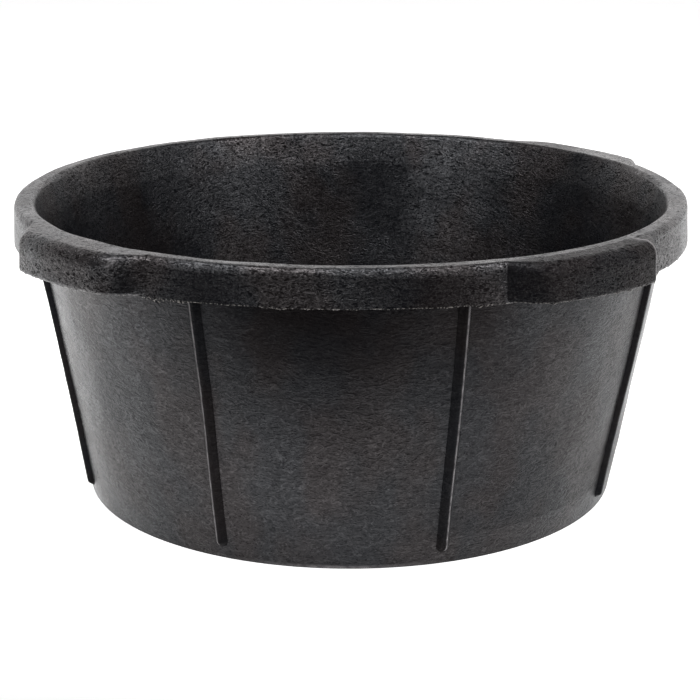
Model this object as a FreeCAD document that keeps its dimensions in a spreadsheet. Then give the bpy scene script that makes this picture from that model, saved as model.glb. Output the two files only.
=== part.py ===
import FreeCAD, Part

# Round mortar mixing tub of fibre-reinforced rubber: 266 mm high, 603 mm over the plain rim and
# 641 mm over the hand grips.
#
# The tub is compression moulded in one shot. Its sub-parts are the regions of that moulding, and they
# meet face to face: the floor pan with its upturned heel, the flared side wall, the thick rim band,
# the hand grips on the band and the stiffening ribs on the outside of the wall.
#
# Frame: origin at the centre of the underside, +Z up, -Y the front. Lengths are in mm, angles in
# degrees, azimuths about +Z from +X.

import math
import os

import Sketcher
from FreeCAD import Placement, Rotation, Vector

DIMENSIONS = {
    # Overall shell; radii are to the outside
    "tub_height": 266,
    "base_radius": 240.5,
    "base_edge_round": 3,
    "wall_top_radius": 282,
    "wall_thickness": 7,
    # Floor pan, which turns up into the foot of the wall
    "floor_thickness": 8,
    "heel_round": 12,
    "heel_height": 24,
    # Rim band: its height down from the top, and how far its face leans in on the way up
    "band_height": 31,
    "band_radius": 301.5,
    "band_lean": 1.5,
    "band_shoulder_round": 6,
    "band_lower_round": 2,
    # Lip inside the band: it starts this far above the band's underside and opens to the rim's edge
    "lip_start": 8,
    "lip_top_radius": 283,
    "lip_edge_round": 6,
    # Hand grips: thick pads on the band, flush with the rim, which ramp down to it at both ends
    "grip_radius": 320.5,
    "grip_root_radius": 297,
    "grip_face_half_angle": 10,
    "grip_root_half_angle": 17.4,
    "grip_corner_round": 25,
    "grip_shoulder_round": 12,
    "grip_lower_round": 3,
    # Wall ribs: how far they start above the ground, and how far their blank reaches into the wall
    "rib_clearance": 11,
    "rib_width": 11,
    "rib_height": 3.2,
    "rib_seat_depth": 4,
    "rib_end_round": 4.5,
    "rib_edge_round": 2.2,
}

FRONT = -90
GRIP_AZIMUTHS = {
    "hand_grip_front_left": FRONT - 42.5,
    "hand_grip_front_right": FRONT + 42.5,
    "hand_grip_rear_right": FRONT + 132.5,
}
RIB_COUNT = 8
FIRST_RIB_AZIMUTH = FRONT + 22.5

# Expressions for the sizes that follow from the driving dimensions
ZERO = "0"
BAND_BOTTOM = "(Dimensions.tub_height - Dimensions.band_height)"
WALL_SLOPE = f"((Dimensions.wall_top_radius - Dimensions.base_radius) / {BAND_BOTTOM})"

# Sketcher's numbers for the origin, the two axes, and the ends and centre of a curve
HORIZONTAL_AXIS = -1
VERTICAL_AXIS = -2
START, END, CENTRE = 1, 2, 3
ORIGIN = (HORIZONTAL_AXIS, START)

# How near two heights must be to count as the same
LEVEL_TOLERANCE = 0.01

document = FreeCAD.newDocument("MixingTub")


def wall_radius(height):
    """Expression for the wall's outer radius at a height, itself an expression."""
    return f"(Dimensions.base_radius + {WALL_SLOPE} * ({height}))"


def make_sheet():
    """The spreadsheet of driving dimensions: a name and a plain number in each row."""
    sheet = document.addObject("Spreadsheet::Sheet", "Dimensions")
    for row, (alias, value) in enumerate(DIMENSIONS.items(), start=1):
        sheet.set(f"A{row}", alias)
        sheet.set(f"B{row}", str(value))
        sheet.setAlias(f"B{row}", alias)
    document.recompute()


def make_body(name):
    """An empty body with its name as label."""
    body = document.addObject("PartDesign::Body", name)
    body.Label = name
    return body


def make_sketch(body, name, plane_role):
    """A sketch on one of the body's own origin planes."""
    sketch = body.newObject("Sketcher::SketchObject", name)
    plane = next(item for item in body.Origin.OriginFeatures if item.Role == plane_role)
    sketch.AttachmentSupport = [(plane, "")]
    sketch.MapMode = "FlatFace"
    return sketch


def bind(sketch, constraint, name, expression):
    """Adds a constraint whose value follows an expression."""
    index = sketch.addConstraint(constraint)
    sketch.renameConstraint(index, name)
    sketch.setExpression(f"Constraints.{name}", expression)


def hold_corner(sketch, index, radius, height):
    """Holds the start of a line at a radius and a height, or on an axis where one of them is zero."""
    if radius == ZERO:
        sketch.addConstraint(Sketcher.Constraint("PointOnObject", index, START, VERTICAL_AXIS))
    else:
        across = Sketcher.Constraint("DistanceX", *ORIGIN, index, START, sketch.evalExpression(radius))
        bind(sketch, across, f"corner{index}_radius", radius)
    if height == ZERO:
        sketch.addConstraint(Sketcher.Constraint("PointOnObject", index, START, HORIZONTAL_AXIS))
    else:
        upward = Sketcher.Constraint("DistanceY", *ORIGIN, index, START, sketch.evalExpression(height))
        bind(sketch, upward, f"corner{index}_height", height)


def round_corner(sketch, points, index, rounding):
    """Turns a corner of a closed outline into an arc, tangent to the sides before and after it."""
    before = (index - 1) % len(points)
    after = (index + 1) % len(points)
    size = sketch.evalExpression(rounding)
    # A point on each side, one rounding away from the corner, tells which corner is meant.
    back = points[before] - points[index]
    ahead = points[after] - points[index]
    on_side_before = points[index] + back * (size / back.Length)
    on_side_after = points[index] + ahead * (size / ahead.Length)
    sketch.fillet(before, index, on_side_before, on_side_after, size, True, True)
    arc = max(i for i, item in enumerate(sketch.Geometry) if isinstance(item, Part.ArcOfCircle))
    bind(sketch, Sketcher.Constraint("Radius", arc, size), f"corner{index}_round", rounding)


def draw_section(sketch, corners):
    """A closed outline in the XZ plane.

    Each corner is (radius, height, rounding), all expressions; a rounding of None leaves it sharp.
    """
    points = []
    for radius, height, _ in corners:
        points.append(Vector(sketch.evalExpression(radius), sketch.evalExpression(height), 0))
    for index, point in enumerate(points):
        sketch.addGeometry(Part.LineSegment(point, points[(index + 1) % len(points)]))
    for index, (radius, height, _) in enumerate(corners):
        before = (index - 1) % len(points)
        sketch.addConstraint(Sketcher.Constraint("Coincident", before, END, index, START))
        hold_corner(sketch, index, radius, height)
    for index, (_, _, rounding) in enumerate(corners):
        if rounding is not None:
            round_corner(sketch, points, index, rounding)
    document.recompute()


def make_ring(name, corners):
    """A body of revolution about +Z."""
    body = make_body(name)
    sketch = make_sketch(body, f"{name}_section", "XZ_Plane")
    draw_section(sketch, corners)
    turn = body.newObject("PartDesign::Revolution", f"{name}_turn")
    turn.Profile = sketch
    turn.ReferenceAxis = (sketch, ["V_Axis"])
    turn.Angle = 360
    document.recompute()
    return body


def edge_names(shape, wanted):
    """Names of the edges that pass a test on their middle point and the edge itself."""
    names = []
    for number, edge in enumerate(shape.Edges, start=1):
        middle = edge.valueAt((edge.FirstParameter + edge.LastParameter) / 2)
        if wanted(middle, edge):
            names.append(f"Edge{number}")
    return names


def is_level(edge, height):
    """Whether an edge lies in the horizontal plane at a height."""
    box = edge.BoundBox
    return max(abs(box.ZMin - height), abs(box.ZMax - height)) < LEVEL_TOLERANCE


def add_fillet(body, name, names, radius):
    """Rounds the named edges of the body's last feature."""
    base = body.Tip
    fillet = body.newObject("PartDesign::Fillet", name)
    fillet.Base = (base, names)
    fillet.setExpression("Radius", radius)
    document.recompute()


def make_tub_floor():
    """Floor pan: a flat disc whose edge turns up into the foot of the wall round a wide heel."""
    return make_ring("tub_floor", [
        (ZERO, ZERO, None),
        ("Dimensions.base_radius", ZERO, "Dimensions.base_edge_round"),
        (wall_radius("Dimensions.heel_height"), "Dimensions.heel_height", None),
        (wall_radius("Dimensions.heel_height") + " - Dimensions.wall_thickness",
         "Dimensions.heel_height", None),
        (wall_radius("Dimensions.floor_thickness") + " - Dimensions.wall_thickness",
         "Dimensions.floor_thickness", "Dimensions.heel_round"),
        (ZERO, "Dimensions.floor_thickness", None),
    ])


def make_side_wall():
    """Flared wall of even thickness, from the heel up to the underside of the rim band."""
    return make_ring("side_wall", [
        (wall_radius("Dimensions.heel_height"), "Dimensions.heel_height", None),
        ("Dimensions.wall_top_radius", BAND_BOTTOM, None),
        ("Dimensions.wall_top_radius - Dimensions.wall_thickness", BAND_BOTTOM, None),
        (wall_radius("Dimensions.heel_height") + " - Dimensions.wall_thickness",
         "Dimensions.heel_height", None),
    ])


def make_rim_band():
    """Thick band round the top. Inside, a lip opens out from a crease to the rounded rim edge."""
    lip_bottom = f"{BAND_BOTTOM} + Dimensions.lip_start"
    return make_ring("rim_band", [
        ("Dimensions.wall_top_radius - Dimensions.wall_thickness", BAND_BOTTOM, None),
        ("Dimensions.band_radius", BAND_BOTTOM, "Dimensions.band_lower_round"),
        ("Dimensions.band_radius - Dimensions.band_lean", "Dimensions.tub_height",
         "Dimensions.band_shoulder_round"),
        ("Dimensions.lip_top_radius", "Dimensions.tub_height", "Dimensions.lip_edge_round"),
        (wall_radius(lip_bottom) + " - Dimensions.wall_thickness", lip_bottom, None),
    ])


def draw_grip_plan(sketch):
    """Plan of a grip about the +X axis: outer face and root as arcs, and a straight ramp at each end."""
    face_reach = "Dimensions.grip_radius * sin(Dimensions.grip_face_half_angle)"
    root_reach = "Dimensions.grip_root_radius * sin(Dimensions.grip_root_half_angle)"
    arcs = []
    for radius_name, reach_expression in (("grip_radius", face_reach), ("grip_root_radius", root_reach)):
        radius = DIMENSIONS[radius_name]
        half_angle = math.asin(sketch.evalExpression(reach_expression) / radius)
        circle = Part.Circle(Vector(0, 0, 0), Vector(0, 0, 1), radius)
        arc = sketch.addGeometry(Part.ArcOfCircle(circle, -half_angle, half_angle))
        arcs.append(arc)
        sketch.addConstraint(Sketcher.Constraint("Coincident", arc, CENTRE, *ORIGIN))
        bind(sketch, Sketcher.Constraint("Radius", arc, radius), radius_name, f"Dimensions.{radius_name}")
        reach = sketch.evalExpression(reach_expression)
        right = Sketcher.Constraint("DistanceY", arc, START, *ORIGIN, reach)
        bind(sketch, right, f"{radius_name}_right_reach", reach_expression)
        left = Sketcher.Constraint("DistanceY", *ORIGIN, arc, END, reach)
        bind(sketch, left, f"{radius_name}_left_reach", reach_expression)
    face, root = arcs
    for side in (START, END):
        face_end = sketch.getPoint(face, side)
        root_end = sketch.getPoint(root, side)
        ramp = sketch.addGeometry(Part.LineSegment(face_end, root_end))
        sketch.addConstraint(Sketcher.Constraint("Coincident", ramp, START, face, side))
        sketch.addConstraint(Sketcher.Constraint("Coincident", ramp, END, root, side))
    document.recompute()


def make_grip_blank():
    """A grip at azimuth 0 before it is fitted to the band: a pad of the band's height, well rounded."""
    body = make_body("grip_blank")
    sketch = make_sketch(body, "grip_plan", "XY_Plane")
    sketch.setExpression("AttachmentOffset.Base.z", BAND_BOTTOM)
    draw_grip_plan(sketch)
    pad = body.newObject("PartDesign::Pad", "grip_pad")
    pad.Profile = sketch
    pad.setExpression("Length", "Dimensions.band_height")
    document.recompute()

    top = DIMENSIONS["tub_height"]
    bottom = top - DIMENSIONS["band_height"]
    outside_root = DIMENSIONS["grip_root_radius"] + 1

    def at_face_end(middle, edge):
        upright = edge.BoundBox.ZLength > DIMENSIONS["band_height"] - LEVEL_TOLERANCE
        return upright and math.hypot(middle.x, middle.y) > outside_root

    def round_the_top(middle, edge):
        return is_level(edge, top) and math.hypot(middle.x, middle.y) > outside_root

    def round_the_bottom(middle, edge):
        return is_level(edge, bottom) and math.hypot(middle.x, middle.y) > outside_root

    add_fillet(body, "grip_corners", edge_names(body.Shape, at_face_end), "Dimensions.grip_corner_round")
    add_fillet(body, "grip_shoulder", edge_names(body.Shape, round_the_top),
               "Dimensions.grip_shoulder_round")
    add_fillet(body, "grip_underside", edge_names(body.Shape, round_the_bottom),
               "Dimensions.grip_lower_round")
    return body


def make_rib_blank():
    """A rib at azimuth 0 before it is fitted to the wall, its lower end slanted and rounded."""
    seat = "Dimensions.rib_seat_depth"
    proud = "Dimensions.rib_height"
    face_bottom = f"Dimensions.rib_clearance + {proud}"
    seat_bottom = f"Dimensions.rib_clearance - {seat}"
    body = make_body("rib_blank")
    sketch = make_sketch(body, "rib_section", "XZ_Plane")
    draw_section(sketch, [
        (wall_radius(seat_bottom) + f" - {seat}", seat_bottom, None),
        (wall_radius(face_bottom) + f" + {proud}", face_bottom, None),
        (f"Dimensions.wall_top_radius + {proud}", BAND_BOTTOM, None),
        (f"Dimensions.wall_top_radius - {seat}", BAND_BOTTOM, None),
    ])
    pad = body.newObject("PartDesign::Pad", "rib_pad")
    pad.Profile = sketch
    pad.setExpression("Length", "Dimensions.rib_width")
    pad.Midplane = True
    document.recompute()

    band_bottom = DIMENSIONS["tub_height"] - DIMENSIONS["band_height"]
    face_start = DIMENSIONS["rib_clearance"] + DIMENSIONS["rib_height"]

    def beside_lower_end(middle, edge):
        slants = edge.BoundBox.XLength > LEVEL_TOLERANCE and edge.BoundBox.ZLength > LEVEL_TOLERANCE
        return slants and edge.BoundBox.ZMax < face_start + LEVEL_TOLERANCE

    add_fillet(body, "rib_end", edge_names(body.Shape, beside_lower_end), "Dimensions.rib_end_round")

    def faces_outward(face):
        return face.normalAt(0, 0).x > 0 and face.BoundBox.ZMax > band_bottom - LEVEL_TOLERANCE

    outer_face = max((face for face in body.Shape.Faces if faces_outward(face)), key=lambda f: f.Area)

    def round_outer_face(middle, edge):
        on_face = any(edge.isSame(other) for other in outer_face.Edges)
        return on_face and not is_level(edge, band_bottom)

    add_fillet(body, "rib_edges", edge_names(body.Shape, round_outer_face), "Dimensions.rib_edge_round")
    return body


def make_wall_core():
    """The space inside the wall's outer face, as a plain cone: ribs are trimmed to it."""
    core = document.addObject("Part::Cone", "wall_core")
    core.setExpression("Radius1", "Dimensions.base_radius")
    core.setExpression("Radius2", "Dimensions.wall_top_radius")
    core.setExpression("Height", BAND_BOTTOM)
    document.recompute()
    return core


def fit_around(name, blank, neighbour, azimuth):
    """A blank trimmed to the round neighbour that it sits on, and turned to its azimuth."""
    piece = document.addObject("Part::Cut", name)
    piece.Label = name
    piece.Base = blank
    piece.Tool = neighbour
    piece.Placement = Placement(Vector(0, 0, 0), Rotation(Vector(0, 0, 1), azimuth))
    return piece


def check_document(pieces):
    """Stops if any object failed to compute or any sub-part is not one valid solid."""
    for item in document.Objects:
        if "Invalid" in item.State or "Error" in item.State:
            raise RuntimeError(f"{item.Label} failed: {item.State}")
    for piece in pieces:
        shape = piece.Shape
        if shape.isNull() or not shape.isValid() or len(shape.Solids) != 1:
            raise RuntimeError(f"{piece.Label} is not one valid solid")


def main():
    make_sheet()
    tub_floor = make_tub_floor()
    side_wall = make_side_wall()
    rim_band = make_rim_band()
    pieces = [tub_floor, side_wall, rim_band]
    grip_blank = make_grip_blank()
    for name, azimuth in GRIP_AZIMUTHS.items():
        pieces.append(fit_around(name, grip_blank, rim_band, azimuth))
    rib_blank = make_rib_blank()
    wall_core = make_wall_core()
    for number in range(RIB_COUNT):
        azimuth = FIRST_RIB_AZIMUTH + number * 360 / RIB_COUNT
        pieces.append(fit_around(f"wall_rib_{number + 1}", rib_blank, wall_core, azimuth))
    document.recompute()
    check_document(pieces)
    os.makedirs("parts", exist_ok=True)
    for piece in pieces:
        piece.Shape.exportStep(f"parts/{piece.Label}.step")
        box = piece.Shape.BoundBox
        print(f"{piece.Label}: {piece.Shape.Volume / 1000:.1f} cm3, "
              f"z {box.ZMin:.1f} to {box.ZMax:.1f}, {len(piece.Shape.Faces)} faces")


main()
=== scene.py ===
"""Looks of the mortar mixing tub: black cord-reinforced rubber, compression moulded in one shot.

Every CAD node is replaced by a finer piece of the same name and place. The floor, the wall and the rim
band are turned from their sections, and the grips and ribs are lofted onto them. All of them share one
gentle warp of space, so that the tub is a little out of round and uneven, but its regions still meet
without a gap.
"""

import math

import bpy
import numpy as np
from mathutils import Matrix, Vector


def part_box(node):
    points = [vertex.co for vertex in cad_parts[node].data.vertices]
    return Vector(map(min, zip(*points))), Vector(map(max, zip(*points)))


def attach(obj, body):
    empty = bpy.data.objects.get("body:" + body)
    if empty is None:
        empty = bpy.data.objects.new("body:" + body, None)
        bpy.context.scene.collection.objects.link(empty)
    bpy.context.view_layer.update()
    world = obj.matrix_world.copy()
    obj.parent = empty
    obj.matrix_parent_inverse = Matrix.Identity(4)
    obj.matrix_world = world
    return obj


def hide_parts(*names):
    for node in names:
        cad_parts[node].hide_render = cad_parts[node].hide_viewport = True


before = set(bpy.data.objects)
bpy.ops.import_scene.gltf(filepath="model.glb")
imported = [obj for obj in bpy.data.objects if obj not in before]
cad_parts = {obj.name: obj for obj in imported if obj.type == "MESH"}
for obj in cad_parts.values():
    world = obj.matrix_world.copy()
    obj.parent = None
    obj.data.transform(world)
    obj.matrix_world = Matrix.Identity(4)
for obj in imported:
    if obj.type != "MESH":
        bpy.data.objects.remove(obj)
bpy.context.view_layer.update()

MM = 0.001

# ---------------------------------------------------------------- sizes read from the frame
TUB_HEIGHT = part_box("rim_band")[1].z
BAND_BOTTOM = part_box("rim_band")[0].z
BAND_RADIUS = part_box("rim_band")[1].x
WALL_TOP_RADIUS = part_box("side_wall")[1].x
HEEL_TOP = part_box("side_wall")[0].z
HEEL_TOP_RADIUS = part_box("tub_floor")[1].x
RIB_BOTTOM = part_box("wall_rib_1")[0].z

# ---------------------------------------------------------------- sizes of the moulding
WALL_SLOPE = (WALL_TOP_RADIUS - HEEL_TOP_RADIUS) / (BAND_BOTTOM - HEEL_TOP)
BASE_RADIUS = HEEL_TOP_RADIUS - WALL_SLOPE * HEEL_TOP
WALL_THICKNESS = 7 * MM
FLOOR_THICKNESS = 8 * MM
BASE_EDGE_ROUND = 0.9 * MM
HEEL_ROUND = 12 * MM
BAND_LEAN = 1.5 * MM
SHOULDER_ROUND = 6 * MM
LIP_EDGE_ROUND = 6 * MM
LIP_TOP_RADIUS = 283 * MM
# The lip's slope, drawn on, meets the line of the wall's inner face this far above the band's lower edge.
LIP_START = 8 * MM
LIP_STEPS = 16

# The flash is a thin skirt under the band, between these two distances in from the band's face.
FLASH_OUTER_INSET = 0.4 * MM
FLASH_INNER_INSET = 1.2 * MM
# Height of the flash in mm: the least, how much the random waves add, and how much the rough ones count
FLASH_LEAST = 0.3
FLASH_GAIN = 1.1
FLASH_ROUGH_SHARE = 0.5

GRIP_RADIUS = 319.4 * MM
GRIP_FACE_LEAN = 1.5 * MM
GRIP_SHOULDER_ROUND = 12 * MM
GRIP_LOWER_ROUND = 3 * MM
GRIP_FACE_HALF_ANGLE = 10.6
GRIP_RAMP_ANGLE = 4.9
# Where a grip runs out, its section lies this far inside the band's face.
GRIP_SUNK = 0.8 * MM
# A grip's underside is this much higher than the band's lower edge.
GRIP_FOOT_LIFT = 0.3 * MM
# The points of the grip's cross-section that carry the flash, on its lower outer edge
GRIP_FIN_POINTS = [10, 11]
# Height and paleness of the flash on a grip, as shares of the band's
GRIP_FIN_SHARE = 0.8
GRIP_FIN_PALENESS = 0.4
# How softly each end of a grip's face turns into its ramp, as a share of the ramp
SOFT_END = 0.38
CRISP_END = 0.08

RIB_WIDTH = 11 * MM
RIB_HEIGHT = 4.3 * MM
RIB_SIDE = 3.4 * MM
# How softly a rib's sides turn into its top, as a share of the side
RIB_CROWN = 0.4
# A rib's root lies this deep in the wall, and its top this far up inside the band.
RIB_ROOT = 1.5 * MM
RIB_OVERLAP = 1.5 * MM

# Azimuths are about +Z from +X, in degrees; the front of the tub faces -Y.
FRONT = -90.0
# Each grip: its azimuth, how softly its end at the lower and at the higher azimuth is turned, how full it
# came out of the mould, how dull its skin is, and how strong the painted highlight on the corner at the
# higher azimuth is
GRIPS = {
    "hand_grip_front_left": (FRONT - 43, CRISP_END, SOFT_END, 1.0, 0.0, 0.0),
    "hand_grip_front_right": (FRONT + 42.1, SOFT_END, CRISP_END, 1.0, 0.9, 0.9),
    "hand_grip_rear_right": (FRONT + 132.5, CRISP_END, SOFT_END, 0.87, 0.0, 0.0),
}
RIB_COUNT = 8
FIRST_RIB_AZIMUTH = FRONT + 22.5
# The two ribs beside the front stand closer together than the even spacing, by these degrees.
RIB_NUDGE = {1: -0.6, 8: 0.7}

# ---------------------------------------------------------------- unevenness of the real moulding
# How far the rim is off a circle, as a share of its radius
OUT_OF_ROUND = 0.0070
# The mouth sits a little off the foot: this far towards +X and +Y, reached between these two heights
MOUTH_SHIFT = 1.3 * MM
SHIFT_START = 30 * MM
SHIFT_END = 150 * MM
# The corners of the rim are full in front of the first place along Y, and gone behind the second.
CORNERS_FULL_Y = -100 * MM
CORNERS_GONE_Y = 200 * MM
RIM_DROP = 0.6 * MM
# The unevenness fades in from the ground up to this height, because the foot stands flat.
FOOT_FADE = 20 * MM
# Each unevenness: shortest and longest wave, how many waves, seed, height
OUTWARD_SWELL = (60 * MM, 160 * MM, 24, 11, 0.55 * MM)
OUTWARD_RIPPLE = (14 * MM, 40 * MM, 60, 12, 0.12 * MM)
UPWARD_SWELL = (50 * MM, 140 * MM, 24, 13, 0.35 * MM)
UPWARD_RIPPLE = (12 * MM, 30 * MM, 60, 14, 0.08 * MM)
RAGGED_FLASH = (4 * MM, 16 * MM, 40, 21, 1.0)
ROUGH_FLASH = (40 * MM, 150 * MM, 12, 22, 1.0)
# The band's lower edge swings about this offset from its nominal height, by this much either way.
EDGE_SAG_OFFSET = -1.8 * MM
EDGE_SAG = 2.8 * MM

# Places where the flash hangs down further: azimuth from the front and width in degrees, drop in mm
FLASH_TABS = [(-25.5, 2.0, 3.4), (-22.0, 1.2, 2.4), (-28.0, 1.0, 1.6), (24.0, 2.0, 1.2), (59.0, 0.8, 2.6),
              (101.0, 2.5, 1.5), (158.0, 2.0, 2.2), (-96.0, 1.8, 1.8), (-150.0, 2.4, 1.4)]
# Places where the face of the band is matt: azimuth from the front and width in degrees, dullness
BAND_MATT_PATCHES = [(15.0, 10.0, 0.95), (-19.0, 10.0, 0.95), (-85.0, 18.0, 0.5), (85.0, 18.0, 0.5)]

# ---------------------------------------------------------------- fineness of the meshes
TURN_STEPS = 720
# Edges that turn by more degrees than this stay sharp.
SHARP_ANGLE = 38
# A seam's supporting points are this far from it.
SEAM_SUPPORT = 0.4 * MM
# How far apart the points of the sections may be
UNDERSIDE_STEP = 8 * MM
FLOOR_TOP_STEP = 6 * MM
WALL_STEP = 4 * MM
HEEL_OUTSIDE_STEP = 3 * MM
HEEL_INSIDE_STEP = 2.5 * MM
BAND_UNDERSIDE_STEP = 2.4 * MM
BAND_FACE_STEP = 2.2 * MM
BAND_TOP_STEP = 2 * MM
# Points along a small and a large arc
SMALL_ARC = 6
LARGE_ARC = 10
GRIP_ROWS = 161
RIB_POINTS_ACROSS = 25
RIB_END_ROWS = 19
RIB_ROW_STEP = 3 * MM


def random_waves(points, shortest, longest, count, seed, height):
    """A smooth random field at these points, about -height to height, summed from plane waves."""
    draw = np.random.default_rng(seed)
    total = np.zeros(len(points))
    for _ in range(count):
        direction = draw.normal(size=3)
        direction /= np.linalg.norm(direction)
        length = shortest * (longest / shortest) ** draw.random()
        phase = draw.random() * 2 * math.pi
        total += np.sin(points @ direction * (2 * math.pi / length) + phase)
    return total / math.sqrt(count / 2) / 2 * height


def smooth_step(values, low, high):
    """0 below low, 1 above high, and a smooth rise between."""
    share = np.clip((values - low) / (high - low), 0, 1)
    return share * share * (3 - 2 * share)


def azimuth_of(points):
    """Each point's azimuth about +Z from +X, in radians."""
    return np.arctan2(points[:, 1], points[:, 0])


def from_front(points):
    """Each point's azimuth from the front, in degrees, -180 to 180."""
    return (np.degrees(azimuth_of(points)) - FRONT + 180) % 360 - 180


def warp(points):
    """The warp of space that all pieces share: out of round towards the top, and uneven.

    The front has two soft corners; the back has none, and is only a little flat.
    """
    points = points.copy()
    height_share = np.clip(points[:, 2] / TUB_HEIGHT, 0, 1)
    corners = np.cos(4 * azimuth_of(points))
    rear = smooth_step(points[:, 1], CORNERS_FULL_Y, CORNERS_GONE_Y)
    corners += rear * (1 - corners) / 2
    stretch = 1 - OUT_OF_ROUND * corners * height_share ** 1.5
    points[:, :2] *= stretch[:, None]
    points[:, :2] += MOUTH_SHIFT * smooth_step(points[:, 2], SHIFT_START, SHIFT_END)[:, None]
    radius = np.hypot(points[:, 0], points[:, 1])
    outward = points[:, :2] / np.maximum(radius, 1e-6)[:, None]
    free = np.clip(points[:, 2] / FOOT_FADE, 0, 1)
    push = random_waves(points, *OUTWARD_SWELL) + random_waves(points, *OUTWARD_RIPPLE)
    points[:, :2] += outward * (push * free)[:, None]
    lift = random_waves(points, *UPWARD_SWELL) + random_waves(points, *UPWARD_RIPPLE)
    points[:, 2] += lift * free * height_share - RIM_DROP * height_share
    return points


# ---------------------------------------------------------------- outlines
def line(start, end, step):
    """Points from start to end, without the end, no further apart than step."""
    start = np.array(start, float)
    end = np.array(end, float)
    count = max(1, math.ceil(np.linalg.norm(end - start) / step))
    return [tuple(start + (end - start) * i / count) for i in range(count)]


def rounded(before, corner, after, radius, count):
    """Points of an arc that rounds a corner between two straight sides, both tangent points included."""
    before, corner, after = (np.array(p, float) for p in (before, corner, after))
    back = (before - corner) / np.linalg.norm(before - corner)
    ahead = (after - corner) / np.linalg.norm(after - corner)
    half = math.acos(float(np.clip(back @ ahead, -1, 1))) / 2
    middle = back + ahead
    centre = corner + middle / np.linalg.norm(middle) * radius / math.sin(half)
    first = corner + back * radius / math.tan(half) - centre
    last = corner + ahead * radius / math.tan(half) - centre
    sweep = math.atan2(first[0] * last[1] - first[1] * last[0], first @ last)
    points = []
    for i in range(count + 1):
        turn = sweep * i / count
        cosine = math.cos(turn)
        sine = math.sin(turn)
        points.append((centre[0] + first[0] * cosine - first[1] * sine,
                       centre[1] + first[0] * sine + first[1] * cosine))
    return points


def wall_outside(height):
    """The point (radius, height) of the wall's outer face at this height."""
    return (BASE_RADIUS + WALL_SLOPE * height, height)


def wall_inside(height):
    """The point (radius, height) of the wall's inner face at this height."""
    return (BASE_RADIUS + WALL_SLOPE * height - WALL_THICKNESS, height)


def bend(start, corner, end, share):
    """A point on the soft curve that leaves start towards corner and arrives at end from it."""
    start, corner, end = (np.array(p, float) for p in (start, corner, end))
    return tuple(start * (1 - share) ** 2 + corner * 2 * share * (1 - share) + end * share ** 2)


def seam_line(start, end, step):
    """A line with a supporting point close to each end, so that the shading runs straight over a seam."""
    start = np.array(start, float)
    end = np.array(end, float)
    along = (end - start) / np.linalg.norm(end - start) * SEAM_SUPPORT
    inner = line(start + along, end - along, step)
    return [tuple(start), *inner, tuple(end - along)]


# ---------------------------------------------------------------- meshes
def make_piece(name, points, faces, slot, replaced, marks=None):
    """A closed, smooth-shaded piece in the row frame, warped like its neighbours.

    marks are per-point shares that the rubber finish reads by name: matt skin and painted shade, "coarse"
    skin, "pale" flash, and painted highlights on edges.
    """
    mesh = bpy.data.meshes.new(name)
    mesh.from_pydata(warp(points).tolist(), [], faces)
    mesh.validate()
    for mark, shares in (marks or {}).items():
        mesh.attributes.new(mark, "FLOAT", "POINT").data.foreach_set("value", np.asarray(shares, float))
    mesh.shade_smooth()
    mesh.set_sharp_from_angle(angle=math.radians(SHARP_ANGLE))
    mesh.materials.append(MATERIALS[slot])
    piece = bpy.data.objects.new(name, mesh)
    bpy.context.scene.collection.objects.link(piece)
    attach(piece, "root")
    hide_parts(replaced)


def grid_faces(rows, columns, around_rows, around_columns):
    """Quads of a grid of points, row by row, closed round either way if asked."""
    faces = []
    for i in range(rows if around_rows else rows - 1):
        following = (i + 1) % rows
        for j in range(columns if around_columns else columns - 1):
            right = (j + 1) % columns
            faces.append((i * columns + j, following * columns + j,
                          following * columns + right, i * columns + right))
    return faces


def loft_faces(rows, columns):
    """Faces of a closed loft: quads round every row, and a cap on the first and the last row."""
    last = rows * columns - 1
    faces = grid_faces(rows, columns, around_rows=False, around_columns=True)
    faces.append(tuple(range(columns)))
    faces.append(tuple(range(last, last - columns, -1)))
    return faces


def turned(section, lower_edge_share=None, fin_share=None):
    """Points of a section (radius, height) turned about Z, and its faces.

    The section runs anticlockwise round the solid. Where it starts and ends on the axis, the rings there
    shrink to single points. The two shares move each section point with the band's uneven lower edge.
    """
    section = np.array(section, float)
    on_axis = section[0, 0] == 0 and section[-1, 0] == 0
    body = section[1:-1] if on_axis else section
    angles = np.arange(TURN_STEPS) * (2 * math.pi / TURN_STEPS)
    ring = np.stack([np.cos(angles), np.sin(angles)], axis=1)
    points = np.empty((TURN_STEPS, len(body), 3))
    points[:, :, :2] = ring[:, None, :] * body[None, :, :1]
    points[:, :, 2] = body[None, :, 1]
    if lower_edge_share is not None:
        points[:, :, 2] += lower_edge(angles)[:, None] * np.array(lower_edge_share)[None, :]
        points[:, :, 2] -= fin_height(angles)[:, None] * np.array(fin_share)[None, :]
    points = points.reshape(-1, 3)
    columns = len(body)
    faces = grid_faces(TURN_STEPS, columns, around_rows=True, around_columns=not on_axis)
    if on_axis:
        bottom = len(points)
        top = bottom + 1
        points = np.vstack([points, [0, 0, section[0, 1]], [0, 0, section[-1, 1]]])
        for i in range(TURN_STEPS):
            following = (i + 1) % TURN_STEPS
            faces.append((bottom, following * columns, i * columns))
            faces.append((top, (i + 1) * columns - 1, (following + 1) * columns - 1))
    return points, faces


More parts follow.
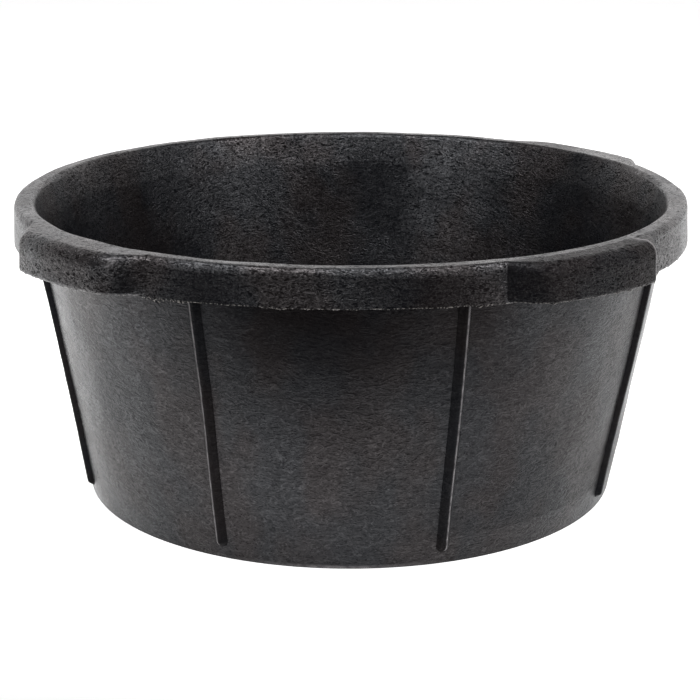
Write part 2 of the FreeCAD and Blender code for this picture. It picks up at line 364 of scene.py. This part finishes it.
def make_floor():
    """Floor pan with a flat top, and the heel that turns it up into the wall."""
    heel = wall_inside(HEEL_TOP)
    corner = wall_inside(FLOOR_THICKNESS)
    centre_top = (0.0, FLOOR_THICKNESS)
    foot = (BASE_RADIUS, 0.0)
    edge = rounded((0, 0), foot, wall_outside(HEEL_TOP), BASE_EDGE_ROUND, SMALL_ARC)
    heel_curve = rounded(heel, corner, centre_top, HEEL_ROUND, LARGE_ARC)
    section = [
        *line((0, 0), edge[0], UNDERSIDE_STEP), *edge[:-1],
        *seam_line(edge[-1], wall_outside(HEEL_TOP), HEEL_OUTSIDE_STEP), wall_outside(HEEL_TOP),
        heel, *seam_line(heel, heel_curve[0], HEEL_INSIDE_STEP)[1:], *heel_curve[:-1],
        *line(heel_curve[-1], centre_top, FLOOR_TOP_STEP), centre_top,
    ]
    points, faces = turned(section)
    # The foot's rounded edge is made matt, which paints a dark line of contact shade under the tub,
    # with a painted highlight line above it at the front.
    line_height = 1.5 * MM
    line_half_width = 0.8 * MM
    line_azimuth = 2
    line_spread = 14
    line_highlight = 0.6
    outer = np.hypot(points[:, 0], points[:, 1]) > BASE_RADIUS - 2 * BASE_EDGE_ROUND
    matt_and_shade = outer * (points[:, 2] < BASE_EDGE_ROUND + 0.1 * MM)
    above = outer * (np.abs(points[:, 2] - line_height) < line_half_width)
    painted_highlight = above * np.exp(-((from_front(points) - line_azimuth) / line_spread) ** 2) * line_highlight
    inner = points[:, 2] > FLOOR_THICKNESS / 2
    inner &= np.hypot(points[:, 0], points[:, 1]) < wall_outside(points[:, 2])[0] - WALL_THICKNESS / 2
    marks = {"dull_and_shade": matt_and_shade, "painted_highlight": painted_highlight, "coarse": inner}
    make_piece("tub_floor", points, faces, "moulded_rubber", "tub_floor", marks)


def make_wall():
    """Flared side wall, from the heel to the underside of the band."""
    outside = (wall_outside(HEEL_TOP), wall_outside(BAND_BOTTOM))
    inside = (wall_inside(BAND_BOTTOM), wall_inside(HEEL_TOP))
    section = [*seam_line(*outside, WALL_STEP), outside[1], *seam_line(*inside, WALL_STEP), inside[1]]
    points, faces = turned(section)
    outer = np.hypot(points[:, 0], points[:, 1]) > wall_outside(points[:, 2])[0] - WALL_THICKNESS / 2
    # The wall is made matt under the front of the band, which paints the band's shadow there, and a little
    # duller on its right side.
    front_spread = 24
    right_dullness = 0.36
    turn = from_front(points)
    under_band = smooth_step(points[:, 2], 100 * MM, 225 * MM)
    right_side = smooth_step(turn, 8, 35) * (1 - smooth_step(turn, 80, 110))
    matt_and_shade = np.exp(-(turn / front_spread) ** 2) * under_band + right_dullness * right_side
    matt_and_shade = np.minimum(matt_and_shade, 1) * outer
    make_piece("side_wall", points, faces, "moulded_rubber", "side_wall", {"dull_and_shade": matt_and_shade, "coarse": ~outer})


def lower_edge(angles):
    """How far the band's lower edge is off its nominal height: high at the front and back."""
    return EDGE_SAG_OFFSET - EDGE_SAG * np.cos(2 * angles)


def fin_height(angles):
    """Height of the thin flash that the mould leaves along the band's lower edge."""
    ring = np.stack([np.cos(angles), np.sin(angles), np.zeros(len(angles))], axis=1) * BAND_RADIUS
    ragged = random_waves(ring, *RAGGED_FLASH)
    rough = random_waves(ring, *ROUGH_FLASH)
    height = FLASH_LEAST + FLASH_GAIN * np.clip(ragged + FLASH_ROUGH_SHARE * rough, 0, 2)
    # The tabs are ragged too.
    tab_share = 0.8 + 0.4 * ragged
    turn = from_front(ring)
    for place, width, drop in FLASH_TABS:
        height += drop * np.exp(-((turn - place) / width) ** 2) * tab_share
    return height * MM


def make_band():
    """Rim band: outer face, shoulder, flat top, rounded inner edge, and the lip that opens the mouth."""
    face_foot = (BAND_RADIUS, BAND_BOTTOM)
    face_top = (BAND_RADIUS - BAND_LEAN, TUB_HEIGHT)
    lip_top = (LIP_TOP_RADIUS, TUB_HEIGHT)
    crease = wall_inside(BAND_BOTTOM + LIP_START)
    inner_foot = wall_inside(BAND_BOTTOM)
    shoulder = rounded(face_foot, face_top, lip_top, SHOULDER_ROUND, LARGE_ARC)
    edge = rounded(face_top, lip_top, crease, LIP_EDGE_ROUND, LARGE_ARC)
    # The flash: its inner root, the two points of its lower edge, and its outer root
    fin_outer = BAND_RADIUS - FLASH_OUTER_INSET
    fin_inner = BAND_RADIUS - FLASH_INNER_INSET
    fin_foot = BAND_BOTTOM - 0.1 * MM
    flash = [(fin_inner - 0.4 * MM, BAND_BOTTOM), (fin_inner, fin_foot),
             (fin_outer, fin_foot), (fin_outer + 0.3 * MM, BAND_BOTTOM + 0.5 * MM)]
    face_start = (BAND_RADIUS - 0.05 * MM, BAND_BOTTOM + 1.5 * MM)
    ledge = line(inner_foot, flash[0], BAND_UNDERSIDE_STEP)
    lip = [bend(edge[-1], crease, inner_foot, i / LIP_STEPS) for i in range(1, LIP_STEPS + 1)]
    face = line(face_start, shoulder[0], BAND_FACE_STEP)
    above_foot = (inner_foot[0] + WALL_SLOPE * SEAM_SUPPORT, inner_foot[1] + SEAM_SUPPORT)
    top = [*shoulder[:-1], *seam_line(shoulder[-1], edge[0], BAND_TOP_STEP), *edge]
    section = [*ledge, *flash, *face, *top, *lip[:-1], above_foot]
    shoulder_foot = TUB_HEIGHT - SHOULDER_ROUND
    share = []
    fin = []
    for index, (radius, height) in enumerate(section):
        below = np.clip((shoulder_foot - height) / (shoulder_foot - BAND_BOTTOM), 0, 1)
        out = np.clip((radius - WALL_TOP_RADIUS) / (BAND_RADIUS - WALL_TOP_RADIUS), 0, 1)
        outer_side = index < len(ledge) + len(flash) + len(face)
        share.append(below * out if outer_side else 0.0)
        fin.append(1.0 if (radius, height) in flash[1:3] else 0.0)
    points, faces = turned(section, share, fin)
    matt_and_shade = np.zeros(len(points))
    for place, width, dullness in BAND_MATT_PATCHES:
        matt_and_shade += dullness * np.exp(-((from_front(points) - place) / width) ** 2)
    matt_and_shade = np.minimum(matt_and_shade, 1) * (points[:, 2] < TUB_HEIGHT - SHOULDER_ROUND)
    marks = {"pale": np.tile(fin, TURN_STEPS), "dull_and_shade": matt_and_shade, "coarse": np.ones(len(points))}
    make_piece("rim_band", points, faces, "rim_rubber", "rim_band", marks)


# ---------------------------------------------------------------- hand grips
def soft_limit(value, softness):
    """value up to 1, turning softly into 1 over the given share."""
    gap = max(softness - abs(value - 1), 0) / softness
    return min(value, 1) - gap * gap * softness / 4


def grip_section(swell, foot_height):
    """Cross-section of a grip: at swell 0 just inside the band's own skin, at 1 the full grip."""
    radius = BAND_RADIUS - GRIP_SUNK + (GRIP_RADIUS - BAND_RADIUS + GRIP_SUNK) * swell
    shoulder_round = SHOULDER_ROUND + (GRIP_SHOULDER_ROUND - SHOULDER_ROUND) * swell
    root = BAND_RADIUS - BAND_LEAN - SHOULDER_ROUND
    lean = BAND_LEAN + (GRIP_FACE_LEAN - BAND_LEAN) * swell
    foot = (radius, foot_height)
    top = (radius - lean, TUB_HEIGHT)
    # GRIP_FIN_POINTS depends on these counts.
    count_underside = 8
    count_heel = 6
    count_face = 10
    count_shoulder = 12
    count_top = 8
    heel = rounded((root, foot_height), foot, top, GRIP_LOWER_ROUND, count_heel)
    shoulder = rounded(foot, top, (root, TUB_HEIGHT), shoulder_round, count_shoulder)
    flat_start = max(shoulder[-1][0], root + 0.01 * MM)
    underside = [(root + (heel[0][0] - root) * i / count_underside, foot_height)
                 for i in range(count_underside)]
    face = [tuple(np.array(heel[-1]) + (np.array(shoulder[0]) - heel[-1]) * i / count_face)
            for i in range(1, count_face)]
    flat = [(flat_start + (root - flat_start) * i / count_top, TUB_HEIGHT) for i in range(1, count_top)]
    near_root = (root + 0.02 * MM, TUB_HEIGHT)
    return [*underside, *heel, *face, *shoulder, *flat, near_root, (root, TUB_HEIGHT)]


def make_grip(name, azimuth, low_end, high_end, fullness, dullness, corner_highlight):
    """A grip, lofted through its cross-sections from one end of its ramps to the other."""
    half = GRIP_FACE_HALF_ANGLE + GRIP_RAMP_ANGLE
    offsets = np.linspace(-half, half, GRIP_ROWS)
    fins = fin_height(np.radians(azimuth + offsets))
    # The painted highlight on the corner: its middle, out from the end of the face, and its width, in
    # degrees
    corner_highlight_place = GRIP_FACE_HALF_ANGLE + 0.15
    corner_highlight_width = 0.3
    rows = []
    pale = []
    painted_highlight = []
    for offset, fin in zip(offsets, fins):
        softness = low_end if offset < 0 else high_end
        swell = soft_limit((half - abs(offset)) / GRIP_RAMP_ANGLE, softness)
        angle = math.radians(azimuth + offset)
        foot_height = BAND_BOTTOM + float(lower_edge(angle)) + GRIP_FOOT_LIFT
        section = np.array(grip_section(fullness * max(swell, 0), foot_height))
        section[GRIP_FIN_POINTS, 1] -= GRIP_FIN_SHARE * fin
        pale.extend(GRIP_FIN_PALENESS * (i in GRIP_FIN_POINTS) for i in range(len(section)))
        corner = math.exp(-((offset - corner_highlight_place) / corner_highlight_width) ** 2)
        painted_highlight.extend([corner_highlight * corner] * len(section))
        rows.append(np.stack([section[:, 0] * math.cos(angle), section[:, 0] * math.sin(angle),
                              section[:, 1]], axis=1))
    points = np.vstack(rows)
    faces = loft_faces(len(rows), len(rows[0]))
    marks = {"pale": pale, "painted_highlight": painted_highlight, "dull_and_shade": np.full(len(points), dullness),
             "coarse": np.ones(len(points))}
    make_piece(name, points, faces, "rim_rubber", name, marks)


# ---------------------------------------------------------------- wall ribs
def make_rib(name, azimuth):
    """A rib: a low bar with soft sides and a round lower end, rooted a little inside the wall."""
    half = RIB_WIDTH / 2
    across = np.linspace(-1, 1, RIB_POINTS_ACROSS) * half
    top = BAND_BOTTOM + RIB_OVERLAP
    near_end = RIB_BOTTOM + np.linspace(0, RIB_WIDTH, RIB_END_ROWS)
    upwards = np.arange(near_end[-1] + RIB_ROW_STEP, top, RIB_ROW_STEP)
    heights = np.concatenate([near_end, upwards, [top]])
    lean = math.atan(WALL_SLOPE)
    outward = np.array([math.cos(lean), -math.sin(lean)])
    # At the round lower end the bar narrows to the half circle's width, but not to nothing.
    narrowest = 0.06 * half
    # The painted highlight line runs beside the top's edge: its middle and width, as shares of the side
    edge_highlight_place = 0.95
    edge_highlight_width = 0.25
    # The top and the flank that faces the front of the tub are matt, counted towards the front.
    # The edge of the other flank carries a painted highlight, counted away from the front.
    matt_start = -0.75 * half
    matt_full = -0.45 * half
    highlight_start = -0.1 * half
    highlight_full = 0.3 * half
    front_side = -1 if (azimuth - FRONT) % 360 < 180 else 1
    points = []
    dull_and_shade = []
    painted_highlight = []
    for height in heights:
        below_round = max(RIB_BOTTOM + half - height, 0)
        reach = math.sqrt(max(half ** 2 - below_round ** 2, narrowest ** 2)) / half
        for place in across * reach:
            inside = half - math.hypot(place, below_round)
            proud = RIB_HEIGHT * max(soft_limit(inside / RIB_SIDE, RIB_CROWN), 0)
            points.append((height, place, proud))
            dull_and_shade.append(float(smooth_step(place * front_side, matt_start, matt_full)))
            edge = math.exp(-((inside / RIB_SIDE - edge_highlight_place) / edge_highlight_width) ** 2)
            painted_highlight.append(edge * float(smooth_step(-place * front_side, highlight_start, highlight_full)))
        for place in across[::-1] * reach:
            points.append((height, place, -RIB_ROOT))
            dull_and_shade.append(0.0)
            painted_highlight.append(0.0)
    angle = math.radians(azimuth)
    placed = []
    for height, place, proud in points:
        radius = wall_outside(height)[0] + outward[0] * proud
        z = height + outward[1] * max(proud, 0)
        turn = angle + place / radius
        placed.append((radius * math.cos(turn), radius * math.sin(turn), z))
    faces = loft_faces(len(heights), 2 * RIB_POINTS_ACROSS)
    make_piece(name, np.array(placed), faces, "moulded_rubber", name, {"dull_and_shade": dull_and_shade, "painted_highlight": painted_highlight})


# ---------------------------------------------------------------- materials
BROWN_BLACK = (0.0062, 0.0052, 0.0054, 1)
BLUE_BLACK = (0.0046, 0.0048, 0.0058, 1)
DUST = (0.050, 0.045, 0.043, 1)
PALE_DUST = (0.32, 0.30, 0.28, 1)
# Grey of the painted highlights on edges
HIGHLIGHT_GREY = (0.20, 0.19, 0.195, 1)
WARM_SHEEN = (1.0, 0.93, 0.95, 1)
COOL_SHEEN = (0.94, 0.95, 1.0, 1)
TABLE_GREY = (0.86, 0.86, 0.86, 1)
TABLE_PALE = (0.89, 0.89, 0.89, 1)

# About how large the features of each texture are
PATCH_SIZE = 90 * MM
TINT_SIZE = 60 * MM
FIBRE_SIZE = 14 * MM
PIT_SPACING = 9 * MM
LUMP_SIZE = 6 * MM
CREPE_SIZE = 4.5 * MM
GRAIN_SIZE = 1.7 * MM
TABLE_CLOUD_SIZE = 500 * MM


class Shader:
    """Adds nodes to a material or world and links them, so that a recipe reads top to bottom."""

    def __init__(self, tree):
        self.tree = tree
        tree.nodes.clear()

    def feed(self, socket, value):
        """Give a socket its value, or link it to another node's output."""
        if isinstance(value, bpy.types.NodeSocket):
            self.tree.links.new(value, socket)
        else:
            socket.default_value = value

    def add(self, kind, settings=None, **inputs):
        """A node; inputs are by name with _ for spaces, each a value or another node's output."""
        node = self.tree.nodes.new(kind)
        for key, value in (settings or {}).items():
            setattr(node, key, value)
        for key, value in inputs.items():
            self.feed(node.inputs[key.replace("_", " ")], value)
        return node

    def mark(self, name):
        """The share that a piece carries at each of its points under this name, 0 where it has none."""
        return self.add("ShaderNodeAttribute", {"attribute_name": name}).outputs["Fac"]

    def noise(self, coords, size, detail, roughness=0.55):
        """A noise texture whose features are about size metres."""
        settings = {"noise_dimensions": "3D", "noise_type": "FBM"}
        node = self.add("ShaderNodeTexNoise", settings, Vector=coords, Scale=1 / size, Detail=detail,
                        Roughness=roughness, Distortion=0.0)
        return node.outputs["Fac"]

    def ridges(self, coords, size, distortion):
        """A noise texture of sharp creases about size metres apart, above 1 on its crests."""
        settings = {"noise_dimensions": "3D", "noise_type": "RIDGED_MULTIFRACTAL"}
        node = self.add("ShaderNodeTexNoise", settings, Vector=coords, Scale=1 / size, Detail=3,
                        Roughness=0.5, Distortion=distortion, Offset=1.0, Gain=2.0)
        return node.outputs["Fac"]

    def math(self, operation, first, second):
        """The result of adding, subtracting or multiplying two values."""
        node = self.add("ShaderNodeMath", {"operation": operation})
        self.feed(node.inputs[0], first)
        self.feed(node.inputs[1], second)
        return node.outputs[0]

    def range(self, value, low, high, to_low=0.0, to_high=1.0):
        """value mapped from one range to another, clamped."""
        node = self.add("ShaderNodeMapRange", {"clamp": True, "interpolation_type": "SMOOTHSTEP"},
                        Value=value, From_Min=low, From_Max=high, To_Min=to_low, To_Max=to_high)
        return node.outputs["Result"]

    def blend(self, share, first, second):
        """A colour between two colours."""
        # A colour mix takes its share at socket 0 and its two colours at 6 and 7, and gives socket 2.
        node = self.add("ShaderNodeMix", {"data_type": "RGBA"})
        self.feed(node.inputs[0], share)
        self.feed(node.inputs[6], first)
        self.feed(node.inputs[7], second)
        return node.outputs[2]

    def stretched(self, coords, scale):
        """Coordinates scaled by a factor along each axis."""
        return self.add("ShaderNodeMapping", None, Vector=coords, Scale=scale).outputs["Vector"]


def make_rubber(name, wear):
    """Black moulded rubber: cord fibres just under the skin, crepe creases, pits and dust on the crests.

    wear, 0 to 1, lightens the high spots and deepens the relief.
    """
    material = bpy.data.materials.new(name)
    material.use_nodes = True
    nodes = Shader(material.node_tree)
    place = nodes.add("ShaderNodeTexCoord").outputs["Object"]

    # Textures, from broad to fine
    flattened = nodes.stretched(place, (1.0, 1.0, 2.2))
    patches = nodes.noise(place, PATCH_SIZE, detail=4)
    tint = nodes.noise(nodes.stretched(place, (1.0, 1.0, 0.7)), TINT_SIZE, detail=2)
    fibres = nodes.ridges(flattened, FIBRE_SIZE, distortion=1.5)
    pit_cells = nodes.add("ShaderNodeTexVoronoi", {"feature": "F1"}, Vector=place, Scale=1 / PIT_SPACING,
                          Randomness=1.0)
    pits = nodes.range(pit_cells.outputs["Distance"], 0.05, 0.16)
    lumps = nodes.noise(place, LUMP_SIZE, detail=4, roughness=0.6)
    crepe = nodes.ridges(flattened, CREPE_SIZE, distortion=1.2)
    grain = nodes.noise(place, GRAIN_SIZE, detail=2, roughness=0.6)

    dull_and_shade = nodes.mark("dull_and_shade")
    pale = nodes.mark("pale")
    painted_highlight = nodes.mark("painted_highlight")
    coarse = nodes.mark("coarse")

    # Relief, in mm. Some areas came out of the mould smoother than others.
    depth = nodes.range(patches, 0.35, 0.65, 0.45 + 0.3 * wear, 1.3 + 0.2 * wear)
    height = nodes.math("MULTIPLY", crepe, 0.10)
    height = nodes.math("ADD", height, nodes.math("MULTIPLY", fibres, 0.14))
    height = nodes.math("ADD", height, nodes.math("MULTIPLY", lumps, 0.14))
    height = nodes.math("ADD", height, nodes.math("MULTIPLY", pits, 0.06))
    height = nodes.math("MULTIPLY", height, depth)
    height = nodes.math("MULTIPLY", height, nodes.math("ADD", 1.0, nodes.math("MULTIPLY", coarse, 0.1)))
    bump = nodes.add("ShaderNodeBump", None, Height=height, Strength=1.0, Distance=1.0 * MM)

    # Colour: black, then dust, specks of dust, pale flash and painted highlights on edges over it
    colour = nodes.blend(nodes.range(tint, 0.38, 0.62), BROWN_BLACK, BLUE_BLACK)
    dusty = nodes.math("MULTIPLY", nodes.range(crepe, 1.2, 1.6), nodes.range(patches, 0.35, 0.7, 0.1, 1.0))
    colour = nodes.blend(nodes.math("MULTIPLY", dusty, 0.06 + 0.14 * wear), colour, DUST)
    speck = nodes.range(grain, 0.62, 0.70)
    colour = nodes.blend(nodes.math("MULTIPLY", speck, 0.08 + 0.30 * wear), colour, DUST)
    flash = nodes.math("MULTIPLY", pale, nodes.range(grain, 0.50, 0.60))
    colour = nodes.blend(nodes.math("MULTIPLY", flash, 0.8), colour, PALE_DUST)
    # Painted highlights in grey where the edge mark is set
    highlight_share = nodes.math("MULTIPLY", painted_highlight, nodes.range(lumps, 0.35, 0.60, 0.4, 1.0))
    colour = nodes.blend(highlight_share, colour, HIGHLIGHT_GREY)

    # Roughness
    roughness = nodes.range(patches, 0.3, 0.7, 0.21, 0.32)
    roughness = nodes.math("ADD", roughness, nodes.math("MULTIPLY", lumps, 0.06))
    roughness = nodes.math("ADD", roughness, nodes.math("MULTIPLY", dull_and_shade, 0.08))
    # Shine: the hollows of the relief are dull and the crests are shiny. Where the mark of matt skin and
    # painted shade is set, the shine is cut: partly a matt finish, partly painted shade under the front of
    # the band and along the foot.
    # Coarse skin, inside the tub and on the rim, differs more from hollow to crest than the outside.
    hollow_shine = nodes.math("SUBTRACT", 0.16, nodes.math("MULTIPLY", coarse, 0.13))
    crest_gain = nodes.math("ADD", 0.20, nodes.math("MULTIPLY", coarse, 0.42 + 0.08 * wear))
    crests = nodes.math("MULTIPLY", nodes.range(crepe, 0.4, 1.6), crest_gain)
    grain_loss = nodes.math("ADD", 0.22, nodes.math("MULTIPLY", coarse, 0.38))
    grain_loss = nodes.math("MULTIPLY", grain_loss, nodes.range(grain, 0.40, 0.60, 1.0, 0.0))
    contrast = nodes.math("ADD", hollow_shine, crests)
    contrast = nodes.math("MULTIPLY", contrast, nodes.math("SUBTRACT", 1.05, grain_loss))
    contrast = nodes.math("MULTIPLY", contrast, nodes.range(fibres, 1.2, 1.75, 0.9, 1.7))
    # Cutting the shine here paints shade where the mark is set for shadow.
    kept_shine = nodes.math("SUBTRACT", 1.0, nodes.math("MULTIPLY", dull_and_shade, 0.86))
    shine = nodes.math("MULTIPLY", contrast, kept_shine)
    sheen_tint = nodes.blend(nodes.range(tint, 0.40, 0.60), WARM_SHEEN, COOL_SHEEN)
    shader = nodes.add("ShaderNodeBsdfPrincipled", None, Base_Color=colour, Roughness=roughness,
                       IOR=1.5, Specular_IOR_Level=shine, Specular_Tint=sheen_tint,
                       Normal=bump.outputs["Normal"])
    nodes.add("ShaderNodeOutputMaterial", None, Surface=shader.outputs["BSDF"])
    return material


def make_table_finish():
    """Plain pale studio table, lit a little from within, with a faint, soft unevenness."""
    material = bpy.data.materials.new("pale_floor")
    material.use_nodes = True
    nodes = Shader(material.node_tree)
    place = nodes.add("ShaderNodeTexCoord").outputs["Object"]
    cloud = nodes.noise(place, TABLE_CLOUD_SIZE, detail=2)
    colour = nodes.blend(cloud, TABLE_GREY, TABLE_PALE)
    shader = nodes.add("ShaderNodeBsdfPrincipled", None, Base_Color=colour, Roughness=0.75,
                       Emission_Color=colour, Emission_Strength=0.85)
    nodes.add("ShaderNodeOutputMaterial", None, Surface=shader.outputs["BSDF"])
    return material


# ---------------------------------------------------------------- studio
# Camera: distances in metres, its pitch below the horizon and its turn about +Z in degrees
CAMERA_DISTANCE = 1.5955
CAMERA_HEIGHT = 0.5955
CAMERA_SIDE = 0.0002
CAMERA_PITCH = 16.805
CAMERA_TURN = 3.8
SENSOR = 36.0
# Focal length in sensor widths: 1805 pixels of a picture 700 pixels wide
FOCAL_RATIO = 1805 / 700

# Light from the studio's walls: its strength in front of the tub, what the low backdrop adds, its colour
FRONT_STRENGTH = 0.03
BACKDROP_STRENGTH = 1.35
STUDIO_LIGHT = (1.0, 0.985, 0.985, 1)
PURE_WHITE = (1.0, 1.0, 1.0, 1)

# The table ends this far in front of the tub's middle, and this far away on its other sides.
TABLE_FRONT_EDGE = -0.47
TABLE_REACH = 12.0

# Each light: azimuth and elevation in degrees, distance, width and height in metres, power in watts
SOFTBOXES = {
    "softbox_left": (FRONT - 36, 22, 2.6, 1.3, 2.3, 28),
    "softbox_right": (FRONT + 54, 22, 2.6, 1.3, 2.3, 33),
    "softbox_top": (FRONT, 78, 1.9, 3.0, 0.5, 64),
}


def make_camera():
    """The photo's viewpoint: above the height of the rim, a few degrees to the right of the front."""
    camera = bpy.data.objects.new("camera", bpy.data.cameras.new("camera"))
    bpy.context.scene.collection.objects.link(camera)
    turn = math.radians(CAMERA_TURN)
    camera.location = (CAMERA_SIDE * math.cos(turn) + CAMERA_DISTANCE * math.sin(turn),
                       CAMERA_SIDE * math.sin(turn) - CAMERA_DISTANCE * math.cos(turn), CAMERA_HEIGHT)
    camera.rotation_euler = (math.radians(90 - CAMERA_PITCH), 0, turn)
    camera.data.sensor_width = SENSOR
    camera.data.lens = SENSOR * FOCAL_RATIO
    camera.data.clip_end = 100
    bpy.context.scene.camera = camera


def make_stage():
    """A large pale table: it ends a little in front of the tub and runs far back and to the sides."""
    reach = TABLE_REACH
    corners = [(-reach, TABLE_FRONT_EDGE, 0), (reach, TABLE_FRONT_EDGE, 0), (reach, reach, 0),
               (-reach, reach, 0)]
    mesh = bpy.data.meshes.new("floor")
    mesh.from_pydata(corners, [], [(0, 1, 2, 3)])
    mesh.materials.append(make_table_finish())
    floor = bpy.data.objects.new("floor", mesh)
    bpy.context.scene.collection.objects.link(floor)


def make_softbox(name, azimuth, elevation, distance, width, height, power):
    """A rectangular area light aimed at the tub, placed by azimuth about +Z and elevation."""
    data = bpy.data.lights.new(name, "AREA")
    data.shape = "RECTANGLE"
    data.size = width
    data.size_y = height
    data.energy = power
    light = bpy.data.objects.new(name, data)
    bpy.context.scene.collection.objects.link(light)
    turn = math.radians(azimuth)
    rise = math.radians(elevation)
    away = Vector((math.cos(turn) * math.cos(rise), math.sin(turn) * math.cos(rise), math.sin(rise)))
    light.location = Vector((0, 0, TUB_HEIGHT / 2)) + distance * away
    light.rotation_mode = "QUATERNION"
    light.rotation_quaternion = away.to_track_quat("Z", "Y")


def make_world():
    """White studio: bright low behind the tub, dim in front and above; the camera sees plain white."""
    world = bpy.data.worlds.new("studio")
    bpy.context.scene.world = world
    world.use_nodes = True
    nodes = Shader(world.node_tree)
    direction = nodes.add("ShaderNodeTexCoord").outputs["Generated"]
    parts = nodes.add("ShaderNodeSeparateXYZ", None, Vector=direction)
    backward = nodes.range(parts.outputs["Y"], 0.05, 0.6)
    low = nodes.range(parts.outputs["Z"], 0.32, 0.65, 1.0, 0.04)
    backdrop = nodes.math("MULTIPLY", nodes.math("MULTIPLY", backward, low), BACKDROP_STRENGTH)
    strength = nodes.math("ADD", FRONT_STRENGTH, backdrop)
    seen = nodes.add("ShaderNodeLightPath").outputs["Is Camera Ray"]
    shown = nodes.math("MULTIPLY", nodes.math("SUBTRACT", 1.0, seen), strength)
    shown = nodes.math("ADD", shown, seen)
    colour = nodes.blend(seen, STUDIO_LIGHT, PURE_WHITE)
    background = nodes.add("ShaderNodeBackground", None, Color=colour, Strength=shown)
    nodes.add("ShaderNodeOutputWorld", None, Surface=background.outputs["Background"])


# ---------------------------------------------------------------- build
bpy.context.scene.view_settings.view_transform = "Standard"
MATERIALS = {
    "moulded_rubber": make_rubber("moulded_rubber", wear=0.0),
    "rim_rubber": make_rubber("rim_rubber", wear=1.0),
}
make_camera()
make_floor()
make_wall()
make_band()
for grip_name, grip_form in GRIPS.items():
    make_grip(grip_name, *grip_form)
for number in range(RIB_COUNT):
    rib_azimuth = FIRST_RIB_AZIMUTH + number * 360 / RIB_COUNT + RIB_NUDGE.get(number + 1, 0.0)
    make_rib(f"wall_rib_{number + 1}", rib_azimuth)
make_stage()
for light_name, light_form in SOFTBOXES.items():
    make_softbox(light_name, *light_form)
make_world()
